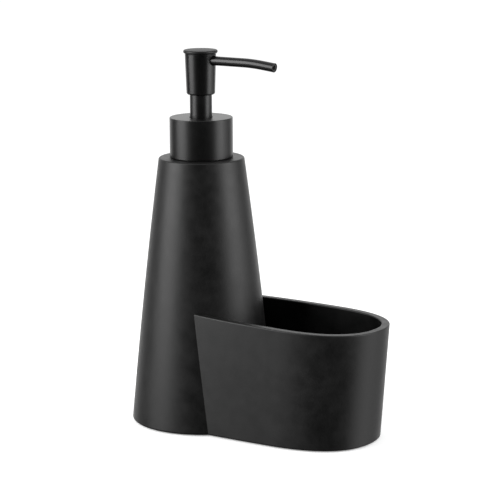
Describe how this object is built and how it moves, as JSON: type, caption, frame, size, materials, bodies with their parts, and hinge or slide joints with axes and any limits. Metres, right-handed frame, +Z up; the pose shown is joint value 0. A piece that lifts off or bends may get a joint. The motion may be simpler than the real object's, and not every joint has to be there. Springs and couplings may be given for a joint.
{
  "type": "soap pump caddy",
  "caption": "Matte black conical soap bottle with a screw-on lotion pump, cast in one with an open oval trough that holds a sponge beside it.",
  "frame": {"origin": "on the bottle's axis, in the plane of the foam pad's underside that the caddy stands on", "axes": "+Z up the bottle's axis towards the pump head, +X from the bottle towards the trough's nose, +Y to the back, -Y to the viewer of the picture"},
  "size_m": [0.1415, 0.0736, 0.191],
  "materials": {
    "matte_resin": "smooth matte cast resin, soft-touch black",
    "black_lacquer": "satin black lacquer on thin metal",
    "base_foam": "matte black closed-cell foam sheet",
    "base_plastic": "moulded black plastic, fine sheen",
    "cap_plastic": "moulded black plastic, semi-matte",
    "pump_plastic": "natural milky polypropylene",
    "seal_rubber": "soft foamed seal",
    "soft_plastic": "waxy white polyethylene",
    "spring_steel": "drawn stainless wire",
    "ball_steel": "polished stainless ball"
  },
  "bodies": {
    "caddy": {"caddy_body": "matte_resin", "base_plate": "base_plastic", "base_pad": "base_foam", "neck_insert": "cap_plastic"},
    "pump_unit": {"pump_housing": "pump_plastic", "neck_gasket": "seal_rubber", "retainer": "cap_plastic", "dip_tube": "soft_plastic", "return_spring": "spring_steel"},
    "collar": {"collar_shell": "black_lacquer", "closure": "cap_plastic"},
    "inlet_valve": {"inlet_ball": "ball_steel"},
    "plunger": {"piston": "soft_plastic"},
    "head": {"piston_stem": "pump_plastic", "stem_sleeve": "black_lacquer", "actuator_core": "cap_plastic", "head_shell": "black_lacquer", "head_cap": "black_lacquer", "nozzle_tube": "black_lacquer", "nozzle_liner": "soft_plastic", "nozzle_seal": "seal_rubber"},
    "discharge_valve": {"discharge_ball": "ball_steel"}
  },
  "joints": [
    {"name": "pump_rise", "type": "slide", "parent": "caddy", "child": "pump_unit", "axis": [0, 0, 1], "range_m": [0, 0.0054]},
    {"name": "collar_turn", "type": "hinge", "parent": "pump_unit", "child": "collar", "pos_m": [0, 0, 0.1467], "axis": [0, 0, 1], "range_deg": [0, 450]},
    {"name": "inlet_lift", "type": "slide", "parent": "pump_unit", "child": "inlet_valve", "axis": [0, 0, 1], "range_m": [0, 0.0015]},
    {"name": "head_press", "type": "slide", "parent": "pump_unit", "child": "plunger", "axis": [0, 0, 1], "range_m": [-0.01, 0], "stiffness_N_per_m": 700, "springref_m": 0.004, "deforming": ["return_spring"]},
    {"name": "head_swivel", "type": "hinge", "parent": "plunger", "child": "head", "pos_m": [0, 0, 0.178], "axis": [0, 0, 1], "continuous": true},
    {"name": "discharge_lift", "type": "slide", "parent": "head", "child": "discharge_valve", "axis": [0, 0, 1], "range_m": [0, 0.0012]}
  ],
  "couplings": [
    {"joint": "pump_rise", "follows": "collar_turn", "m_per_rad": 0.0006737}
  ]
}
